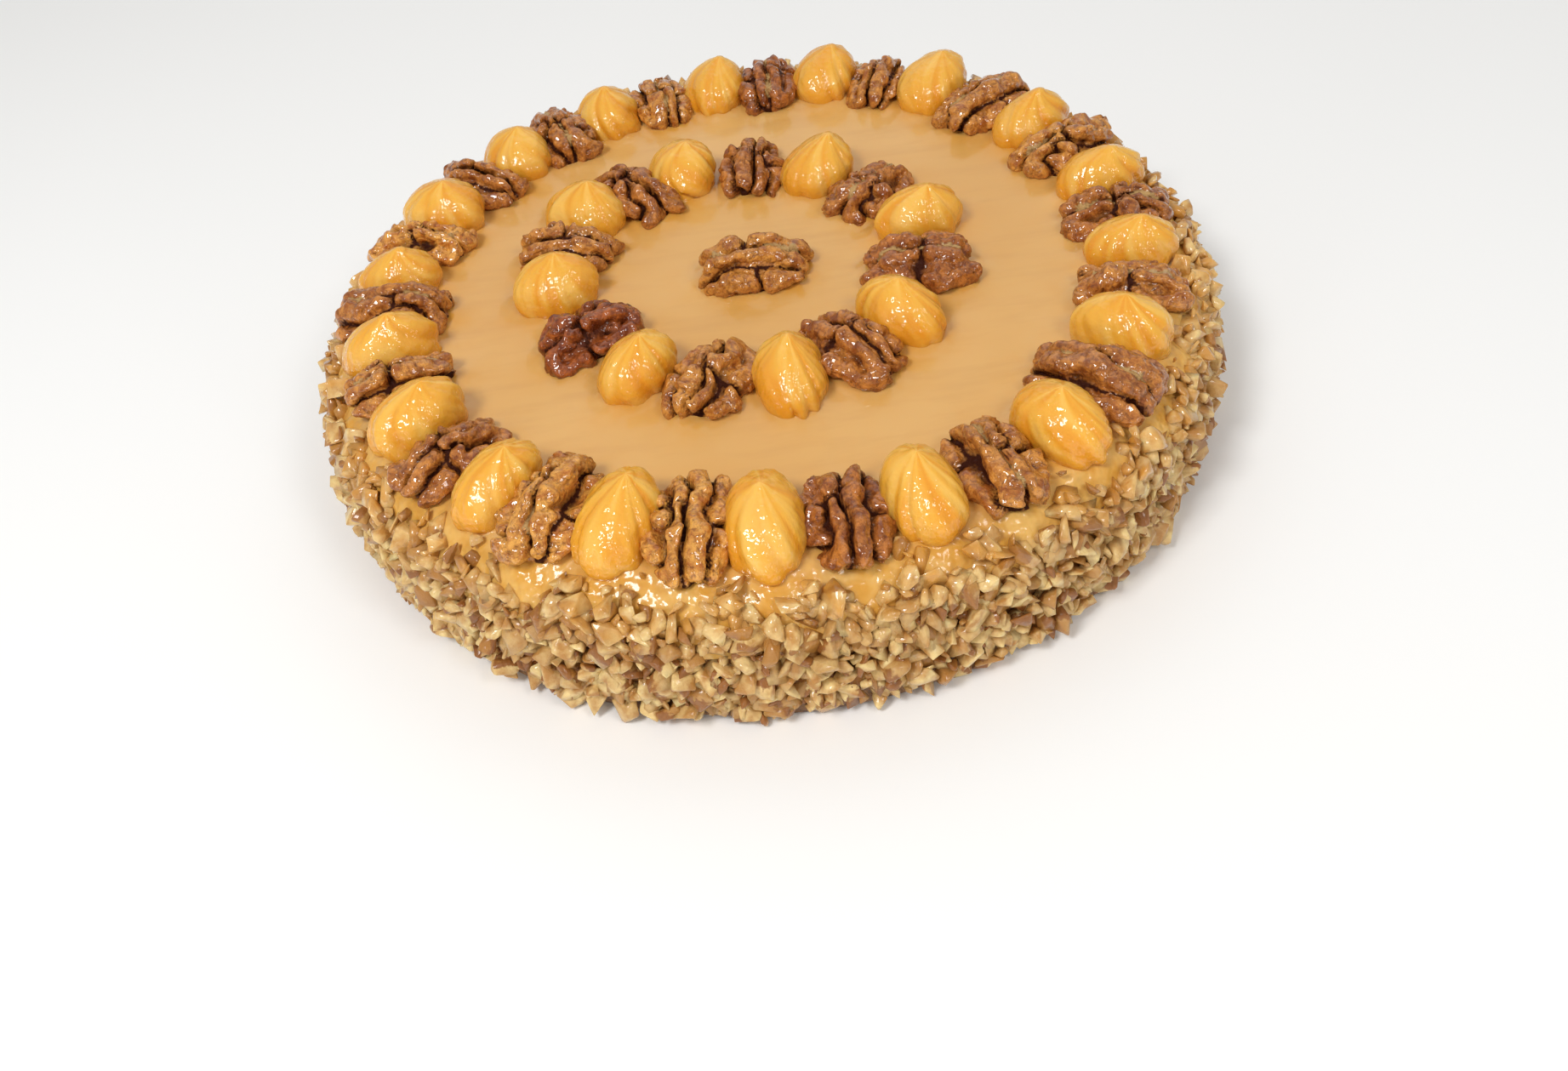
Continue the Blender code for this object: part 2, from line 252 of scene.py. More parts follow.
# The body under the folds: how far inside them it lies, and how firmly it fills the gaps
BODY_INSET = (3.2, 3.4)
BODY_FIRMNESS = 6.0
# A strip of pale pith lies in the middle groove of some halves
PITH_CHANCE = 0.5
PITH_LENGTH = 0.6
PITH_SLIMNESS = 0.7
PITH_RADIUS = 1.1
PITH_TOP = 0.72
# Where the skin is open to light: by crease depth, by furrow and by place on the dome; elsewhere its colour
# is painted shade, nearly black
OPEN_CREASES = (0.1, 1.5)
OPEN_IN_FURROW = 0.65
OPEN_DOME = (0.5, 0.85)
# How dark the skin is, from 0 to 1: usually, and where the photograph shows it plainly
USUAL_TONES = (0.15, 0.65)
KERNEL_TONES = {
    "walnut_inner_05": 1.0, "walnut_outer_14": 0.75, "walnut_inner_08": 0.75, "walnut_outer_04": 0.8,
    "walnut_inner_01": 0.6, "walnut_outer_08": 0.0, "walnut_outer_12": 0.1, "walnut_outer_13": 0.05,
    "walnut_outer_16": 0.6, "walnut_centre": 0.35,
}
FAR = 99.0


# Noise and small tools


class Noise:
    """Smooth noise from -1 to 1 on a random lattice that repeats after 32 cells each way."""

    def __init__(self, seed):
        self.lattice = np.random.default_rng(seed).uniform(-1, 1, (32, 32, 32))

    def at(self, points, size, shift=0):
        """Values at points (n, 3), for cells of this size; a shift picks another part of the noise."""
        scaled = (points + shift) / size
        cell = np.floor(scaled).astype(int)
        part = scaled - cell
        ease = part * part * (3 - 2 * part)
        value = np.zeros(len(points))
        for corner in np.ndindex(2, 2, 2):
            place = (cell + corner) % 32
            weight = np.prod(np.where(corner, ease, 1 - ease), axis=1)
            value += weight * self.lattice[place[:, 0], place[:, 1], place[:, 2]]
        return value


def smooth_step(low, high, value):
    share = np.clip((value - low) / (high - low), 0.0, 1.0)
    return share * share * (3 - 2 * share)


def srgb(red, green, blue):
    """A linear colour from 0 to 255 screen values."""
    def linear(value):
        share = value / 255
        return share / 12.92 if share <= 0.04045 else ((share + 0.055) / 1.055) ** 2.4
    return (linear(red), linear(green), linear(blue), 1.0)


def refined(profile, times):
    """A profile with points put between its own, on a smooth curve through them."""
    points = np.array(profile)
    for _ in range(times):
        before = np.vstack([points[:1], points[:-2]])
        after = np.vstack([points[2:], points[-1:]])
        middle = (9 * (points[:-1] + points[1:]) - before - after) / 16
        woven = np.empty((2 * len(points) - 1, points.shape[1]))
        woven[0::2], woven[1::2] = points, middle
        points = woven
    return [tuple(point) for point in points]


def turned(profile, segments):
    """A profile of (radius, height) turned about the cake's axis: points, ring by ring."""
    profile = np.array(profile)
    turn = np.arange(segments) * 2 * math.pi / segments
    radius, height = profile[:, 0][:, None], profile[:, 1][:, None]
    height = np.broadcast_to(height, (len(profile), segments))
    return np.stack([radius * np.cos(turn), radius * np.sin(turn), height], -1).reshape(-1, 3)


def ring_faces(rings, segments):
    """Quads between rings of points, each ring closed on itself."""
    ring, segment = np.meshgrid(np.arange(rings - 1), np.arange(segments), indexing="ij")
    here = ring * segments + segment
    beside = ring * segments + (segment + 1) % segments
    return np.stack([here, beside, beside + segments, here + segments], -1).reshape(-1, 4)


def closed_rings(rings, segments):
    """Faces between rings of points, with one face across the first ring and one across the last."""
    last = (rings - 1) * segments
    first_face = list(range(segments))[::-1]
    last_face = list(range(last, last + segments))
    return ring_faces(rings, segments).tolist() + [first_face, last_face]


def make_piece(name, points, faces, material, node=None, slot=None, **attributes):
    """A piece from points in millimetres and an array of faces that all have as many corners."""
    mesh = bpy.data.meshes.new(name)
    mesh.vertices.add(len(points))
    mesh.vertices.foreach_set("co", np.asarray(points, np.float32).ravel() * MM)
    mesh.loops.add(faces.size)
    mesh.loops.foreach_set("vertex_index", faces.astype(np.int32).ravel())
    mesh.polygons.add(len(faces))
    mesh.polygons.foreach_set("loop_start", np.arange(len(faces), dtype=np.int32) * faces.shape[1])
    mesh.update(calc_edges=True)
    mesh.validate()
    return dress(mesh, material, node, attributes)


def make_mixed_piece(name, points, faces, material, node=None, slot=None, **attributes):
    """A piece from points in millimetres and lists of corners, one for each face."""
    mesh = bpy.data.meshes.new(name)
    mesh.from_pydata((points * MM).tolist(), [], faces)
    return dress(mesh, material, node, attributes)


def dress(mesh, material, node, attributes):
    """A smooth-shaded object from a mesh, riding on the cake, with a value per point by attribute."""
    mesh.shade_smooth()
    for key, values in attributes.items():
        layer = mesh.attributes.new(key, "FLOAT", "POINT")
        layer.data.foreach_set("value", np.asarray(values, np.float32))
    mesh.materials.append(material)
    piece = bpy.data.objects.new(mesh.name, mesh)
    bpy.context.scene.collection.objects.link(piece)
    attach(piece, "root")
    if node:
        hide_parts(node)
    return piece


# Materials


class Nodes:
    """A short way to write a material's node tree."""

    def __init__(self, name):
        self.material = bpy.data.materials.new(name)
        self.material.use_nodes = True
        self.tree = self.material.node_tree
        self.shader = self.tree.nodes["Principled BSDF"]

    def add(self, kind, inputs, **settings):
        """A node, with its settings by attribute name and its inputs by socket name or number."""
        node = self.tree.nodes.new(kind)
        for key, value in settings.items():
            setattr(node, key, value)
        for key, value in inputs.items():
            self.feed(node, key, value)
        return node

    def feed(self, node, key, value):
        if isinstance(value, bpy.types.NodeSocket):
            self.tree.links.new(value, node.inputs[key])
        else:
            node.inputs[key].default_value = value

    def set(self, **values):
        for key, value in values.items():
            self.feed(self.shader, key.replace("_", " "), value)

    def attribute(self, name):
        return self.add("ShaderNodeAttribute", {}, attribute_name=name).outputs["Fac"]

    def place(self):
        return self.add("ShaderNodeTexCoord", {}).outputs["Object"]

    def noise(self, size_mm, detail=2.0, roughness=0.5, distortion=0.0, where=None):
        """Noise whose blobs are about this size."""
        values = {
            "Vector": where or self.place(), "Scale": 1 / (size_mm * MM), "Detail": detail,
            "Roughness": roughness, "Distortion": distortion,
        }
        return self.add("ShaderNodeTexNoise", values).outputs["Fac"]

    def remap(self, value, low, high, to_low=0.0, to_high=1.0, smooth=False):
        values = {"Value": value, "From Min": low, "From Max": high, "To Min": to_low, "To Max": to_high}
        kind = "SMOOTHSTEP" if smooth else "LINEAR"
        return self.add("ShaderNodeMapRange", values, interpolation_type=kind).outputs["Result"]

    def mix(self, share, low, high):
        """A colour between two, by the numbers of the Mix node's colour sockets."""
        return self.add("ShaderNodeMix", {0: share, 6: low, 7: high}, data_type="RGBA").outputs[2]

    def math(self, operation, first, second):
        return self.add("ShaderNodeMath", {0: first, 1: second}, operation=operation).outputs[0]

    def bump(self, height, distance_mm, after=None):
        if isinstance(distance_mm, bpy.types.NodeSocket):
            distance = self.math("MULTIPLY", distance_mm, MM)
        else:
            distance = distance_mm * MM
        values = {"Height": height, "Distance": distance}
        if after:
            values["Normal"] = after
        return self.add("ShaderNodeBump", values).outputs["Normal"]


def glaze_material():
    """Caramel-coloured gel: cloudy body, faint brushed streaks, yellower where it pools."""
    nodes = Nodes("caramel_glaze")
    body = nodes.mix(nodes.remap(nodes.noise(55, 3), 0.35, 0.7), srgb(215, 162, 86), srgb(222, 173, 101))
    stretched = nodes.add("ShaderNodeMapping", {
        "Vector": nodes.place(), "Rotation": (0, 0, math.radians(20)), "Scale": (1, 5, 1),
    }).outputs[0]
    streaks = nodes.remap(nodes.noise(40, 4, 0.6, where=stretched), 0.48, 0.74)
    body = nodes.mix(nodes.math("MULTIPLY", streaks, 0.36), body, srgb(198, 144, 76))
    patches = nodes.remap(nodes.noise(16, 3, 0.6), 0.42, 0.62, 0.05, 0.75)
    pooled = nodes.math("MULTIPLY", nodes.attribute("pool"), patches)
    body = nodes.mix(pooled, body, srgb(214, 148, 46))
    edge = nodes.attribute("edge")
    syrup = nodes.mix(nodes.remap(nodes.noise(7, 3), 0.4, 0.6), srgb(230, 182, 98), srgb(218, 158, 60))
    body = nodes.mix(nodes.math("MULTIPLY", edge, 0.85), body, syrup)
    ripples = nodes.bump(nodes.noise(9, 2), 0.16)
    wet = nodes.bump(nodes.math("MULTIPLY", nodes.noise(3.0, 1), edge), 1.0, after=ripples)
    nodes.set(Base_Color=body, Roughness=0.3, Normal=wet, Specular_IOR_Level=0.15)
    nodes.set(Coat_Weight=0.7, Coat_Roughness=0.12, Coat_Normal=wet)
    nodes.set(Subsurface_Weight=0.15, Subsurface_Radius=(0.005, 0.003, 0.001), Subsurface_Scale=1.0)
    return nodes.material


def core_material():
    """What shows between the chopped nuts: gel and fine crumbs, darkened as painted shade in the gaps."""
    nodes = Nodes("nut_coat_ground_painted_shade")
    crumbs = nodes.noise(2.4, 4, 0.65)
    # Dark crumb colours: partly the gel and crumbs, partly painted shade for the gaps between the nuts
    colour = nodes.mix(nodes.remap(crumbs, 0.35, 0.65), srgb(78, 46, 18), srgb(146, 100, 50))
    nodes.set(Base_Color=colour, Roughness=0.55, Normal=nodes.bump(crumbs, 1.2), Coat_Weight=0.2)
    return nodes.material


def sponge_material():
    """The cake's plain underside: fine walnut sponge."""
    nodes = Nodes("walnut_sponge")
    crumb = nodes.noise(1.6, 5, 0.7)
    colour = nodes.mix(nodes.remap(crumb, 0.35, 0.65), srgb(120, 80, 48), srgb(184, 140, 96))
    nodes.set(Base_Color=colour, Roughness=0.9, Normal=nodes.bump(crumb, 0.8))
    return nodes.material


def chip_material():
    """Chopped walnut: pale flesh, brown skin on some faces, caramel where the glaze covers it."""
    nodes = Nodes("chopped_walnut")
    tone = nodes.attribute("tone")
    flesh = nodes.mix(nodes.remap(nodes.noise(3.5, 3), 0.35, 0.65), srgb(233, 204, 140), srgb(182, 130, 66))
    flesh = nodes.mix(nodes.remap(tone, 0.5, 1.0), flesh, srgb(170, 116, 52))
    skin = nodes.mix(nodes.noise(1.8, 4, 0.65), srgb(112, 62, 24), srgb(172, 114, 54))
    grain = nodes.math("MULTIPLY", nodes.math("SUBTRACT", nodes.noise(1.4, 3), 0.5), 0.5)
    covered = nodes.remap(nodes.math("ADD", nodes.attribute("skin"), grain), 0.44, 0.56, smooth=True)
    colour = nodes.mix(covered, flesh, skin)
    gel = nodes.attribute("gel")
    covering = nodes.remap(nodes.noise(6, 2), 0.40, 0.62, 0.15, 0.75)
    colour = nodes.mix(nodes.math("MULTIPLY", gel, covering), colour, srgb(216, 154, 62))
    relief = nodes.bump(nodes.noise(1.1, 3, 0.6), 0.25)
    nodes.set(Base_Color=colour, Roughness=0.42, Normal=relief, Specular_IOR_Level=0.25)
    nodes.set(Coat_Weight=nodes.remap(gel, 0, 1, 0.5, 1.0), Coat_Roughness=0.08)
    nodes.set(Subsurface_Weight=0.12, Subsurface_Radius=(0.003, 0.002, 0.001), Subsurface_Scale=1.0)
    return nodes.material


def rosette_material():
    """Egg cream under a wet clear gel: deeper low down, with painted shade darkening its grooves, streaked
    along its ridges.
    """
    nodes = Nodes("egg_cream")
    groove = nodes.attribute("groove")
    low = nodes.attribute("low")
    # Painted shade: the grooves get a deeper, darker cream colour by their depth
    colour = nodes.mix(nodes.remap(groove, 0.1, 0.75), srgb(235, 173, 60), srgb(229, 155, 38))
    colour = nodes.mix(nodes.math("MULTIPLY", low, 0.6), colour, srgb(228, 150, 26))
    streak = nodes.attribute("streak")
    colour = nodes.mix(nodes.remap(streak, 0.05, 0.5, 0.0, 0.45), colour, srgb(243, 198, 102))
    colour = nodes.mix(nodes.remap(streak, -0.05, -0.6, 0.0, 0.6), colour, srgb(226, 144, 26))
    soft = nodes.bump(nodes.noise(3.0, 3), 0.34)
    drops = nodes.bump(nodes.noise(2.2, 1), nodes.remap(low, 0, 1, 0.7, 1.6), after=soft)
    nodes.set(Base_Color=colour, Roughness=0.45, Normal=soft, Specular_IOR_Level=0.15, Coat_IOR=1.6)
    nodes.set(Coat_Weight=nodes.remap(low, 0, 1, 0.7, 1.0), Coat_Roughness=0.04, Coat_Normal=drops)
    nodes.set(Subsurface_Weight=0.2, Subsurface_Radius=(0.005, 0.003, 0.001), Subsurface_Scale=1.0)
    return nodes.material


def walnut_material():
    """Walnut kernel: tan to red-brown skin with fine wrinkles, painted shade in the wrinkle hollows and
    nearly black painted shade in the folds, glazed.
    """
    nodes = Nodes("walnut_kernel")
    tone = nodes.attribute("tone")
    open_share = nodes.attribute("open")
    light = nodes.mix(tone, srgb(240, 174, 80), srgb(184, 98, 40))
    dark = nodes.mix(tone, srgb(182, 104, 36), srgb(106, 42, 14))
    mottle = nodes.remap(nodes.noise(3.2, 5, 0.7, 0.4), 0.38, 0.62)
    colour = nodes.mix(mottle, dark, light)
    wrinkle = nodes.noise(1.7, 4, 0.6, 0.8)
    # Painted shade: the hollows of the fine wrinkles are darkened
    hollow_shade = nodes.remap(wrinkle, 0.48, 0.34, smooth=True)
    colour = nodes.mix(nodes.math("MULTIPLY", hollow_shade, 0.55), colour, srgb(100, 48, 16))
    # Painted shade: skin that is not open to light, in creases, furrows and low on the dome, goes nearly
    # black
    colour = nodes.mix(nodes.remap(open_share, 0.8, 0.2), colour, srgb(58, 22, 8))
    colour = nodes.mix(nodes.attribute("pith"), colour, srgb(190, 152, 98))
    wrinkles = nodes.bump(wrinkle, 1.0)
    fine = nodes.bump(nodes.noise(0.8, 2), 0.2, after=wrinkles)
    film = nodes.bump(nodes.noise(2.2, 1), 0.6)
    nodes.set(Base_Color=colour, Roughness=0.42, Normal=fine, Specular_IOR_Level=0.1, Coat_IOR=1.55)
    nodes.set(Coat_Weight=nodes.remap(open_share, 0.3, 0.8), Coat_Roughness=0.05, Coat_Normal=film)
    return nodes.material


def floor_material():
    nodes = Nodes("pale_floor")
    tint = nodes.mix(nodes.noise(300, 1), (0.93, 0.93, 0.92, 1), (0.95, 0.95, 0.94, 1))
    nodes.set(Base_Color=tint, Roughness=0.7)
    return nodes.material


# Where each topping stands


def node_points(name):
    """A solid's points in millimetres."""
    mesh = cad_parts[name].data
    points = np.empty(len(mesh.vertices) * 3)
    mesh.vertices.foreach_get("co", points)
    return points.reshape(-1, 3) / MM


class Spot:
    """Where a topping's solid stands: centre of its foot, direction, length, width, height, tip."""

    def __init__(self, name):
        self.name = name
        self.kind = name.split("_")[0]
        points = node_points(name)
        self.foot = points[:, 2].min()
        self.height = points[:, 2].max() - self.foot
        self.tip = points[points[:, 2].argmax()]
        standing = points[points[:, 2] < self.foot + FOOT_HEIGHT] if self.kind == "rosette" else points
        self.centre = (standing.min(axis=0) + standing.max(axis=0))[:2] / 2
        if self.kind == "rosette":
            turn = math.atan2(self.centre[1], self.centre[0])
        else:
            level = points[:, :2] - points[:, :2].mean(axis=0)
            _, axes = np.linalg.eigh(level.T @ level)
            turn = math.atan2(axes[1, 1], axes[0, 1])
        along = np.array([math.cos(turn), math.sin(turn)])
        across = np.array([-along[1], along[0]])
        if self.kind == "walnut" and np.dot(along, self.centre) < 0:
            along, across = -along, -across
        self.along, self.across = along, across
        self.length = np.ptp(points[:, :2] @ along)
        self.width = np.ptp(points[:, :2] @ across)

    def to_cake(self, points):
        """Points from the topping's own frame to the cake's."""
        level = np.outer(points[:, 0], self.along) + np.outer(points[:, 1], self.across) + self.centre
        return np.column_stack([level, points[:, 2] + self.foot])

    def distance(self, places):
        """Roughly how far places (n, 2) are from the topping's oval foot."""
        shift = places - self.centre
        a, b = self.length / 2, self.width / 2
        oval = np.hypot(shift @ self.along / a, shift @ self.across / b)
        return (oval - 1) * min(a, b)


# Glaze and cake


def build_glaze(spots, material):
    """The glaze as rings from the middle of the top, over the shoulder, to behind the nuts."""
    waves = Noise(GLAZE_SEED)
    radii = np.arange(GLAZE_RING_STEP, GLAZE_FLAT_RADIUS, GLAZE_RING_STEP)
    profile = [(radius, GLAZE_LEVEL) for radius in radii] + refined(SHOULDER, 2)
    points = np.vstack([turned(profile, GLAZE_SEGMENTS), [(0, 0, GLAZE_LEVEL)]])
    places = points[:, :2].copy()
    out = np.hypot(*places.T)
    edge = smooth_step(GLAZE_FLAT_RADIUS, GLAZE_FLAT_RADIUS + GLAZE_EDGE_WIDTH, out)
    lumps = waves.at(points, GEL_LUMP_SIZE) + 0.5 * waves.at(points, GEL_LUMP_SIZE / 2, shift=100)
    outward = places / np.maximum(out, 1)[:, None]
    points[:, :2] += outward * (edge * lumps * GEL_LUMPS)[:, None]
    points[:, 2] += edge * lumps * GEL_LUMPS * GEL_LUMP_RISE
    points[:, 2] += GLAZE_WAVES * waves.at(points * (1, 1, 0), GLAZE_WAVE_SIZE) * (1 - edge)
    climb = np.zeros(len(points))
    pool = np.zeros(len(points))
    for spot in spots:
        near = np.maximum(spot.distance(places), 0)
        climb = np.maximum(climb, GEL_CLIMB[spot.kind] * np.exp(-near / GEL_REACH))
        pool = np.maximum(pool, np.exp(-near / POOL_REACH))
    points[:, 2] += climb * (1 - CLIMB_LOST_AT_EDGE * edge)
    middle = len(points) - 1
    fan = [[middle, corner, (corner + 1) % GLAZE_SEGMENTS] for corner in range(GLAZE_SEGMENTS)]
    faces = ring_faces(len(profile), GLAZE_SEGMENTS).tolist() + fan
    make_mixed_piece("glaze_top", points, faces, material, "glaze", "glaze", pool=pool, edge=edge)


def build_core(side, under):
    """The cake behind the nuts, with a plain underside of sponge."""
    lumps = Noise(CORE_SEED)
    profile = [(CORE_RADIUS - CORE_TOP_INSET, CORE_TOP + CORE_TOP_RISE)]
    profile += [(CORE_RADIUS, height) for height in np.arange(CORE_TOP, 0, -CORE_RING_STEP)]
    profile += [(CORE_FOOT_RADIUS, 0.0)]
    points = turned(profile, CORE_SEGMENTS)
    bump = CORE_LUMPS * lumps.at(points, CORE_LUMP_SIZE)
    bump *= smooth_step(0.0, CORE_SMOOTH_FOOT, points[:, 2])
    points[:, :2] *= (1 + bump / np.hypot(*points[:, :2].T))[:, None]
    faces = closed_rings(len(profile), CORE_SEGMENTS)
    core = make_mixed_piece("cake_body", points, faces, side, "cake", "coat")
    core.data.materials.append(under)
    core.data.polygons[len(faces) - 1].material_index = 1
    form = bmesh.new()
    form.from_mesh(core.data)
    bmesh.ops.recalc_face_normals(form, faces=form.faces)
    form.to_mesh(core.data)
    form.free()


# Chopped walnuts


def chip_shape(draw, bevelled=True):
    """One angular chip of about unit length: points, triangles and how much each point is skin."""
    form = bmesh.new()
    slender = np.array([1.0, draw.uniform(*CHIP_BREADTH), draw.uniform(*CHIP_THICKNESS)]) / 2
    for _ in range(draw.integers(*CHIP_POINTS)):
        spot = draw.uniform(-1, 1, 3)
        spot /= np.abs(spot).max() ** CHIP_SQUARENESS
        form.verts.new(spot * slender)
    hull = bmesh.ops.convex_hull(form, input=form.verts)
    inner = [item for item in hull["geom_interior"] if isinstance(item, bmesh.types.BMVert)]
    bmesh.ops.delete(form, geom=inner, context="VERTS")
    bmesh.ops.dissolve_limit(form, angle_limit=CHIP_FLAT_ANGLE, verts=form.verts, edges=form.edges)
    if bevelled:
        bmesh.ops.bevel(
            form, geom=list(form.edges), offset=CHIP_BEVEL, segments=1, profile=0.5, affect="EDGES",
            clamp_overlap=True,
        )
    bmesh.ops.triangulate(form, faces=form.faces)
    bmesh.ops.recalc_face_normals(form, faces=form.faces)
    form.verts.index_update()
    points = np.array([vertex.co[:] for vertex in form.verts])
    faces = np.array([[vertex.index for vertex in face.verts] for face in form.faces])
    form.free()
    towards = draw.normal(size=3)
    towards /= np.linalg.norm(towards)
    share = points @ towards
    share = (share - share.min()) / max(np.ptp(share), 1e-6)
    return points, faces, share


def random_turns(draw, count):
    """Random rotations as matrices (count, 3, 3)."""
    q = draw.normal(size=(count, 4))
    w, x, y, z = (q / np.linalg.norm(q, axis=1)[:, None]).T
    return np.stack([
        1 - 2 * (y * y + z * z), 2 * (x * y - z * w), 2 * (x * z + y * w),
        2 * (x * y + z * w), 1 - 2 * (x * x + z * z), 2 * (y * z - x * w),
        2 * (x * z - y * w), 2 * (y * z + x * w), 1 - 2 * (x * x + y * y),
    ], -1).reshape(-1, 3, 3)


def coat_point(share):
    """Radius, height and outward direction on the coat line, share from 0 at the foot to 1."""
    line = np.array(COAT_LINE)
    run = np.concatenate([[0], np.cumsum(np.hypot(*np.diff(line, axis=0).T))])
    along = share * run[-1]
    radius, height = np.interp(along, run, line[:, 0]), np.interp(along, run, line[:, 1])
    ahead = np.clip(along + 1.0, 0, run[-1])
    behind = np.clip(along - 1.0, 0, run[-1])
    dr = np.interp(ahead, run, line[:, 0]) - np.interp(behind, run, line[:, 0])
    dz = np.interp(ahead, run, line[:, 1]) - np.interp(behind, run, line[:, 1])
    size = np.hypot(dr, dz)
    return radius, height, dz / size, -dr / size


def chip_places(draw, layer):
    """Places on the coat, none closer to another than the layer's spacing: (turn, share) pairs."""
    cell = layer.spacing / math.sqrt(2)
    grid = {}
    kept = []
    rounds = draw.uniform(0, 2 * math.pi * COAT_RADIUS, layer.tries)
    heights = draw.uniform(0, COAT_RUN, layer.tries)
    turns = rounds / COAT_RADIUS
    rim = np.stack([np.cos(turns), np.sin(turns), np.zeros(layer.tries)], -1) * COAT_RADIUS
    patchy = Noise(PATCH_SEED).at(rim, PATCH_SIZE) * PATCH_DEPTH
    for around, along, shift in zip(rounds, heights, patchy):
        if draw.uniform() > layer.fullness(along / COAT_RUN + shift):
            continue
        key = (int(around / cell), int(along / cell))
        near = [grid.get((key[0] + i, key[1] + j)) for i in range(-2, 3) for j in range(-2, 3)]
        if all(p is None or math.hypot(p[0] - around, p[1] - along) >= layer.spacing for p in near):
            grid[key] = (around, along)
            kept.append((around / COAT_RADIUS, along / COAT_RUN))
    return np.array(kept)


def build_chips(name, draw, layer, shapes, spots, material):
    """One joined mesh of a layer of chips laid over the coat."""
    places = chip_places(draw, layer)
    turns = random_turns(draw, len(places))
    all_points, all_faces, tones, skins, gels = [], [], [], [], []
    start = 0
    for (turn, share), rotation in zip(places, turns):
        points, faces, side = shapes[draw.integers(len(shapes))]
        tone, kind = draw.uniform(size=2)
        is_brown = kind < layer.brown
        size = draw.uniform(*layer.lengths) * (BROWN_CHIP_SIZE if is_brown else 1)
        radius, height, out_r, out_z = coat_point(share)
        lift = draw.uniform(*layer.stand) + SHOULDER_LIFT * smooth_step(*SHOULDER_HEIGHTS, height)
        direction = np.array([math.cos(turn), math.sin(turn)])
        centre = np.append(direction * (radius + lift * out_r), height + lift * out_z)
        clear = min(spot.distance(centre[None, :2])[0] for spot in spots)
        if centre[2] > TOPPINGS_HEIGHT and clear < size * CHIP_CLEARANCE:
            continue
        placed = (points * size) @ rotation.T + centre
        if placed[:, 2].min() < CHIP_LOWEST:
            placed[:, 2] += CHIP_LOWEST - placed[:, 2].min()
        all_points.append(placed)
        all_faces.append(faces + start)
        start += len(points)
        tones.append(np.full(len(points), tone))
        reach = BROWN_REACH if is_brown else draw.uniform(*SKIN_REACH) * (kind > BARE_SHARE)
        skins.append(np.clip(side + reach - SKIN_EDGE, 0, 1) if reach else np.zeros(len(points)))
        gels.append(np.full(len(points), smooth_step(*GEL_HEIGHTS, height)))
    make_piece(
        name, np.vstack(all_points), np.vstack(all_faces), material, slot="coat",
        tone=np.concatenate(tones), skin=np.concatenate(skins), gel=np.concatenate(gels),
    )


def build_nuts(spots, material):
    """Chopped nuts in three layers; the one behind has plainer shapes and fills the gaps."""
    draw = np.random.default_rng(CHIP_SEED)
    shapes = [chip_shape(draw) for _ in range(CHIP_KINDS)]
    build_chips("nuts_coarse", draw, COARSE_NUTS, shapes, spots, material)
    build_chips("nuts_fine", draw, FINE_NUTS, shapes, spots, material)
    plain_shapes = [chip_shape(draw, bevelled=False) for _ in range(CHIP_KINDS)]
    build_chips("nuts_behind", draw, NUTS_BEHIND, plain_shapes, spots, material)


# Rosettes


def on_drum(turn, height):
    """Places on a drum of a rosette's size, so that noise read there follows the rosette's twist."""
    return np.stack([DRUM_RADIUS * np.cos(turn), DRUM_RADIUS * np.sin(turn), height], -1).reshape(-1, 3)


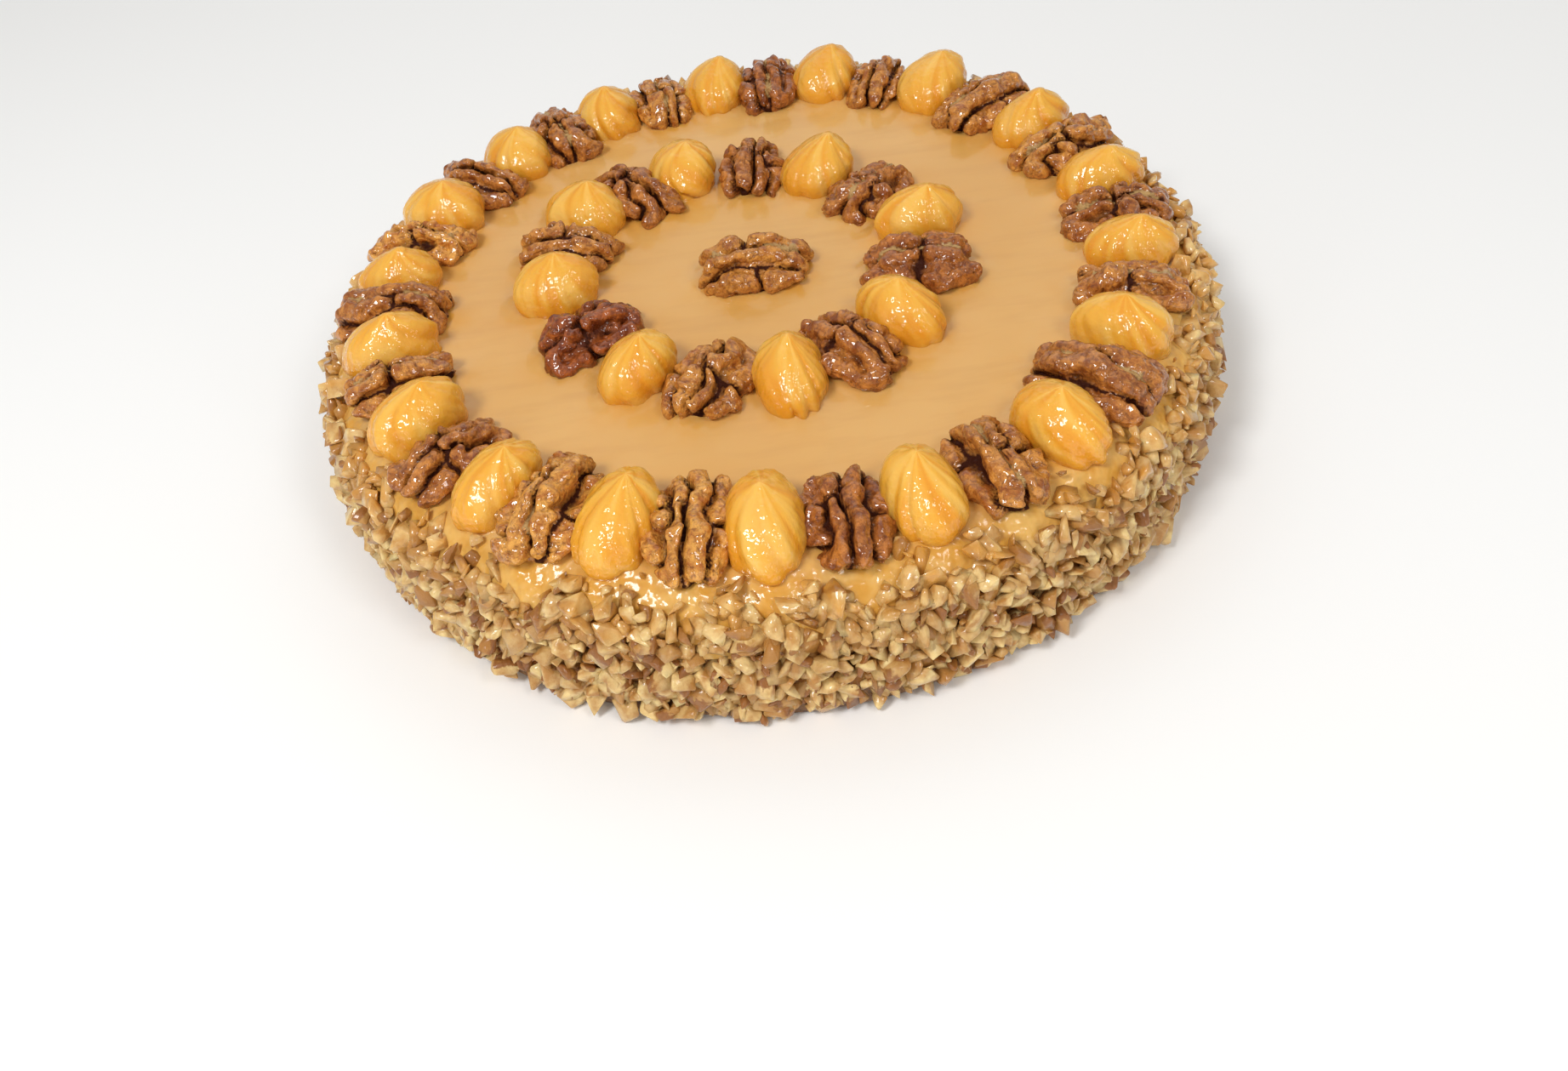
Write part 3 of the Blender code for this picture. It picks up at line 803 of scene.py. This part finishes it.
def build_rosette(spot, number, material):
    """A piped rosette: soft ridges that twist up a bulb to a blunt tip pulled to one side."""
    draw = np.random.default_rng(ROSETTE_SEED + number)
    wobble = Noise(ROSETTE_NOISE_SEED + number)
    ridges = int(draw.choice(RIDGE_COUNTS))
    share = np.linspace(0, 1, ROSETTE_ROWS) ** ROW_SPREAD
    around = np.arange(ROSETTE_SEGMENTS) * 2 * math.pi / ROSETTE_SEGMENTS
    share, around = np.meshgrid(share, around, indexing="ij")
    bulb, dome = np.array(refined(ROSETTE_BULB, 3)), np.array(refined(ROSETTE_DOME, 3))
    plump = draw.uniform(*PLUMPNESS)
    breadth = (1 - plump) * np.interp(share, *bulb.T) + plump * np.interp(share, *dome.T)
    twisted = around + draw.uniform(*RIDGE_TWIST) * share
    for times, amount in RIDGE_CROWDING:
        twisted = twisted + amount * np.sin(times * around + draw.uniform(0, 6))
    lobe = np.sqrt(np.cos(ridges * twisted / 2) ** 2 + GROOVE_SOFTNESS)
    which = np.floor((ridges * twisted / 2 + math.pi / 2) / math.pi).astype(int) % ridges
    fading = wobble.at(on_drum(twisted, DRUM_RADIUS * share), FADE_SIZE).reshape(share.shape)
    fade = smooth_step(*FADE_NOISE, fading) * (1 - TIP_FADE * smooth_step(*TIP_HEIGHTS, share))
    depth = RIDGE_DEPTH * draw.uniform(*RIDGE_UNEVENNESS, ridges)[which]
    depth *= FADED_DEPTH + (1 - FADED_DEPTH) * fade
    teeth = TEETH_DEPTH * np.cos(3 * ridges * twisted) * smooth_step(*TEETH_HEIGHTS, share)
    star = STAR_FOOT * (lobe - STAR_LEVEL) * smooth_step(*STAR_HEIGHTS, share)
    breadth = breadth * (1 - depth * (1 - lobe) + teeth + star)
    lean = (spot.tip[:2] - spot.centre) @ np.column_stack([spot.along, spot.across])
    hook = share**HOOK_POWER
    wide = ROSETTE_SWELL + BACK_SWELL * max(0.0, spot.along[1])
    x = spot.length / 2 * breadth * np.cos(around) + lean[0] * hook
    y = wide * spot.width / 2 * breadth * np.sin(around) + lean[1] * hook
    z = spot.height * share - ROSETTE_SUNK
    points = np.stack([x, y, z], -1).reshape(-1, 3)
    away = np.stack([np.cos(around), np.sin(around)], -1).reshape(-1, 2)
    swell = BULGES[0] * wobble.at(points, BULGES[1]) + DIMPLES[0] * wobble.at(points, DIMPLES[1], shift=50)
    points[:, :2] += away * (swell * smooth_step(*BULGE_HEIGHTS, share.ravel()))[:, None]
    faces = closed_rings(ROSETTE_ROWS, ROSETTE_SEGMENTS)
    # How deep each point lies in a groove, which paints shade into the grooves' colour
    groove = ((1 - lobe) * (FADED_GROOVE + (1 - FADED_GROOVE) * fade)).ravel()
    streak = wobble.at(on_drum(twisted, STREAK_DRUM_HEIGHT * share), STREAK_SIZE)
    make_mixed_piece(
        spot.name.replace("rosette", "cream"), spot.to_cake(points), faces, material, spot.name, "rosette",
        groove=groove, streak=streak, low=smooth_step(*LOW_HEIGHTS, share).ravel(),
    )


# Walnut halves


CORNERS = np.array(list(np.ndindex(2, 2, 2)))
CELL_EDGES = [
    (a, b) for a in range(8) for b in range(a + 1, 8) if np.abs(CORNERS[a] - CORNERS[b]).sum() == 1
]


def surface_of(field, low, step):
    """Points and quads of the surface where a sampled field, negative inside, is zero."""
    inside = field < 0
    shape = np.array(field.shape) - 1
    count = np.zeros(shape, int)
    for corner in CORNERS:
        count += inside[tuple(slice(c, c + n) for c, n in zip(corner, shape))]
    mixed = (count > 0) & (count < 8)
    cells = np.argwhere(mixed)
    index = np.full(mixed.shape, -1)
    index[mixed] = np.arange(len(cells))
    total, hits = np.zeros((len(cells), 3)), np.zeros(len(cells))
    for a, b in CELL_EDGES:
        first, second = field[tuple((cells + CORNERS[a]).T)], field[tuple((cells + CORNERS[b]).T)]
        cross = (first < 0) != (second < 0)
        part = (first / np.where(cross, first - second, 1.0))[:, None]
        total += np.where(cross[:, None], CORNERS[a] + part * (CORNERS[b] - CORNERS[a]), 0)
        hits += cross
    points = low + step * (cells + total / hits[:, None])
    quads = []
    for axis in range(3):
        u, v = (axis + 1) % 3, (axis + 2) % 3
        lower = np.take(inside, range(inside.shape[axis] - 1), axis)
        upper = np.take(inside, range(1, inside.shape[axis]), axis)
        at = np.argwhere(lower != upper)
        at = at[(at[:, u] > 0) & (at[:, v] > 0) & (at[:, u] < shape[u]) & (at[:, v] < shape[v])]
        du, dv = np.eye(3, dtype=int)[u], np.eye(3, dtype=int)[v]
        quad = np.stack([index[tuple((at - shift).T)] for shift in (du + dv, dv, 0 * du, du)], -1)
        outward = lower[tuple(at.T)]
        quads.append(np.where(outward[:, None], quad, quad[:, ::-1]))
    return points, np.vstack(quads)


def through_fold(inner, bow, parting):
    """A fold that runs beside the middle groove from one end of a walnut half to the other."""
    return [
        (-0.9, 0.40), (-0.78, inner), (-0.4, bow), (parting, inner - 0.04), (0.4, bow),
        (0.78, inner + 0.04), (0.92, 0.36),
    ]


def fold_paths(draw):
    """The folds of a walnut half, as lists of (along, across) on an oval of radius 1.

    On one side of the middle groove each quarter is a fold that runs out beside it, turns near the
    end and comes back along the rim, or two separate fingers. The other side may be the same, or one
    fold that runs from end to end with shorter ones outside it. The last fold lies low, in the groove.
    """
    folds = []
    through = draw.choice([-1, 1, 0], p=[0.35, 0.35, 0.3])
    for side in (1, -1):
        parting = draw.uniform(-0.2, 0.2)
        inner = 0.22 + draw.uniform(-0.04, 0.05)
        if side == through:
            bow = inner + draw.uniform(0.0, 0.12)
            folds.append([(x, side * y) for x, y in through_fold(inner, bow, parting)])
        for end in (1, -1):
            middle = 0.1 + end * parting
            reach = draw.uniform(0.86, 1.0)
            out = [(middle, inner), (0.45, inner + draw.uniform(-0.03, 0.06)), (reach - 0.08, inner + 0.04)]
            bend = [(reach + 0.02, 0.42), (reach - 0.08, 0.62)]
            back = [(0.58, 0.80), (0.36, 0.90 + draw.uniform(-0.04, 0.05)), (middle + 0.05, 0.93)]
            style = draw.uniform()
            if side == through:
                paths = [[(reach - 0.1, 0.64)] + back]
            elif style < 0.45:
                paths = [out + bend + back]
            elif style < 0.75:
                paths = [out, [(reach - 0.1, 0.60)] + back]
            else:
                knob = [(middle + 0.08, 0.62), (middle + 0.14, 0.50)]
                paths = [out + bend, [(0.60, 0.74)] + back[1:] + knob]
            folds += [[(end * x, side * y) for x, y in path] for path in paths]
    folds.append([(-0.42, 0.04), (-0.1, -0.05), (0.12, 0.05), (0.40, -0.03)])
    return folds


def fold_knots(draw, path, is_middle, thick, half, top):
    """The knots of a fold over the dome of a walnut half, and its radius at each."""
    thickness = thick * (MIDDLE_THICKNESS if is_middle else draw.uniform(*FOLD_THICKNESS))
    lift = -MIDDLE_DEPTH if is_middle else draw.uniform(*FOLD_LIFT)
    knots = []
    for x, y in refined(path, 1):
        rise = (top - thick) * math.sqrt(max(DOME_LEAST, 1 - DOME_FALL * (x * x + y * y)))
        height = rise + lift + draw.uniform(*KNOT_LIFT)
        knots.append((x * (half[0] - thick), y * (half[1] - thick), height))
    return np.array(knots), thickness * draw.uniform(*KNOT_THICKNESS, len(knots))


def tube_distance(points, knots, radii):
    """How far points are from the surface of a tube through knots, negative inside it."""
    distance = np.full(len(points), FAR)
    for i in range(len(knots) - 1):
        step = knots[i + 1] - knots[i]
        share = np.clip((points - knots[i]) @ step / (step @ step), 0, 1)
        gap = np.linalg.norm(points - knots[i] - share[:, None] * step, axis=1)
        distance = np.minimum(distance, gap - radii[i] - share * (radii[i + 1] - radii[i]))
    return distance


def walnut_grid(half, top):
    """A grid of points round a walnut half: its lowest corner, its size each way and the points."""
    low = np.array([-half[0] - WALNUT_MARGIN, -half[1] - WALNUT_MARGIN, -WALNUT_SUNK])
    high = np.array([half[0] + WALNUT_MARGIN, half[1] + WALNUT_MARGIN, top + WALNUT_MARGIN])
    sizes = np.ceil((high - low) / WALNUT_STEP).astype(int)
    grid = np.stack(np.meshgrid(*[np.arange(n) for n in sizes], indexing="ij"), -1)
    return low, sizes, low + grid.reshape(-1, 3) * WALNUT_STEP


def bent(points, warp):
    """Points moved by noise, so that what is drawn round them is bent."""
    large, small = LARGE_BENDS, SMALL_BENDS
    shifts = [large[0] * n.at(points, large[1]) + small[0] * n.at(points, small[1], shift=60) for n in warp]
    return points + np.stack(shifts, -1)


def build_walnut(spot, number, material):
    """A walnut half as thick folds over a low dome, with a groove along its middle."""
    draw = np.random.default_rng(WALNUT_SEED + number)
    warp = [Noise(WALNUT_NOISE_SEED + 10 * number + i) for i in range(3)]
    wide = WALNUT_WIDTH - BACK_NARROWING * max(0.0, spot.centre[1]) / RING_RADIUS
    half = np.array([spot.length / 2 * WALNUT_LENGTH, spot.width / 2 * wide])
    top = spot.height
    thick = draw.uniform(*FOLD_RADIUS) * min(LARGEST_SCALE, spot.length / USUAL_LENGTH)
    low, sizes, points = walnut_grid(half, top)
    warped = bent(points, warp)

    nearest = np.full(len(points), FAR)
    second = np.full(len(points), FAR)
    folds = fold_paths(draw)
    for path in folds:
        knots, radii = fold_knots(draw, path, path is folds[-1], thick, half, top)
        fold = tube_distance(warped, knots, radii)
        second = np.minimum(second, np.maximum(nearest, fold))
        nearest = np.minimum(nearest, fold)
    crease = second - nearest
    field = nearest + FISSURE * np.exp(-((crease / FISSURE_SPREAD) ** 2))
    off_furrow = smooth_step(0.0, FURROW_WIDTH, np.abs(warp[2].at(points, FURROW_SIZE, shift=90)))
    field += FURROW * (1 - off_furrow)
    body = np.linalg.norm(warped / np.append(half - BODY_INSET[0], top - BODY_INSET[1]), axis=1) - 1
    field = np.minimum(field, body * BODY_FIRMNESS)
    pith = np.zeros(len(points))
    if draw.uniform() < PITH_CHANCE:
        past_end = np.maximum(np.abs(warped[:, 0]) - half[0] * PITH_LENGTH, 0)
        strip = np.hypot(past_end, warped[:, 1] / PITH_SLIMNESS)
        strip = np.maximum(strip - PITH_RADIUS, warped[:, 2] - top * PITH_TOP)
        pith = strip < field
        field = np.minimum(field, strip)
    grain = LARGE_GRAIN[0] * warp[0].at(points, LARGE_GRAIN[1], shift=20)
    grain += SMALL_GRAIN[0] * warp[1].at(points, SMALL_GRAIN[1], shift=30)
    field = np.maximum(field - grain, -points[:, 2])

    corners, quads = surface_of(field.reshape(sizes), low, WALNUT_STEP)
    nearest_cell = tuple(np.clip(np.round((corners - low) / WALNUT_STEP).astype(int), 0, sizes - 1).T)
    # How open the skin is to light; where it is not, its colour is painted shade
    open_share = smooth_step(*OPEN_CREASES, crease) * (OPEN_IN_FURROW + (1 - OPEN_IN_FURROW) * off_furrow)
    dome = np.linalg.norm(corners / np.append(half, top), axis=1)
    open_share = open_share.reshape(sizes)[nearest_cell] * smooth_step(*OPEN_DOME, dome)
    usual_tone = draw.uniform(*USUAL_TONES)
    tone = np.full(len(corners), KERNEL_TONES.get(spot.name, usual_tone))
    make_piece(
        spot.name.replace("walnut", "kernel"), spot.to_cake(corners), quads, material, spot.name, "walnut",
        open=open_share, tone=tone, pith=pith.astype(float).reshape(sizes)[nearest_cell],
    )


# Stage, light and camera


def build_stage():
    bpy.ops.mesh.primitive_plane_add(size=FLOOR_SIZE, location=(0, 0, -FLOOR_DROP))
    floor = bpy.context.object
    floor.name = "floor"
    floor.data.materials.append(floor_material())


def add_light(name, place, size, power):
    """A square soft light, pointed at the cake."""
    light = bpy.data.lights.new(name, "AREA")
    light.size, light.energy = size, power
    lamp = bpy.data.objects.new(name, light)
    bpy.context.scene.collection.objects.link(lamp)
    lamp.location = place
    lamp.rotation_euler = (Vector(LIT_POINT) - lamp.location).to_track_quat("-Z", "Y").to_euler()


def build_light():
    world = bpy.data.worlds.new("studio")
    bpy.context.scene.world = world
    world.use_nodes = True
    background = world.node_tree.nodes["Background"]
    background.inputs["Color"].default_value = ROOM_COLOUR
    background.inputs["Strength"].default_value = ROOM_STRENGTH
    for name, place, size, power in LIGHTS:
        add_light(name, place, size, power)
    bpy.context.scene.view_settings.view_transform = "Standard"


def build_camera():
    tilt, roll = math.radians(CAMERA_TILT), math.radians(CAMERA_ROLL)
    back = Vector((0, -math.cos(tilt), math.sin(tilt)))
    right = Vector((1, 0, 0))
    up = back.cross(right)
    rolled_right = right * math.cos(roll) + up * math.sin(roll)
    rolled_up = up * math.cos(roll) - right * math.sin(roll)
    lens = bpy.data.cameras.new("camera")
    lens.sensor_width = SENSOR_WIDTH
    lens.lens = FOCAL_PIXELS / PHOTO_SIZE[0] * SENSOR_WIDTH
    lens.shift_x = (PHOTO_SIZE[0] / 2 - PRINCIPAL_PIXEL[0]) / PHOTO_SIZE[0]
    lens.shift_y = (PRINCIPAL_PIXEL[1] - PHOTO_SIZE[1] / 2) / PHOTO_SIZE[0]
    lens.clip_start = CAMERA_NEAREST
    camera = bpy.data.objects.new("camera", lens)
    bpy.context.scene.collection.objects.link(camera)
    turn = Matrix((rolled_right, rolled_up, back)).transposed().to_4x4()
    camera.matrix_world = Matrix.Translation(Vector(CAMERA_PLACE) * MM) @ turn
    bpy.context.scene.camera = camera


def main():
    build_camera()
    build_light()
    build_stage()
    toppings = sorted(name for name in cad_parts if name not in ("cake", "glaze"))
    spots = [Spot(name) for name in toppings]
    build_glaze(spots, glaze_material())
    build_core(core_material(), sponge_material())
    build_nuts(spots, chip_material())
    cream = rosette_material()
    kernel = walnut_material()
    for number, spot in enumerate(spots):
        if spot.kind == "rosette":
            build_rosette(spot, number, cream)
        else:
            build_walnut(spot, number, kernel)


main()
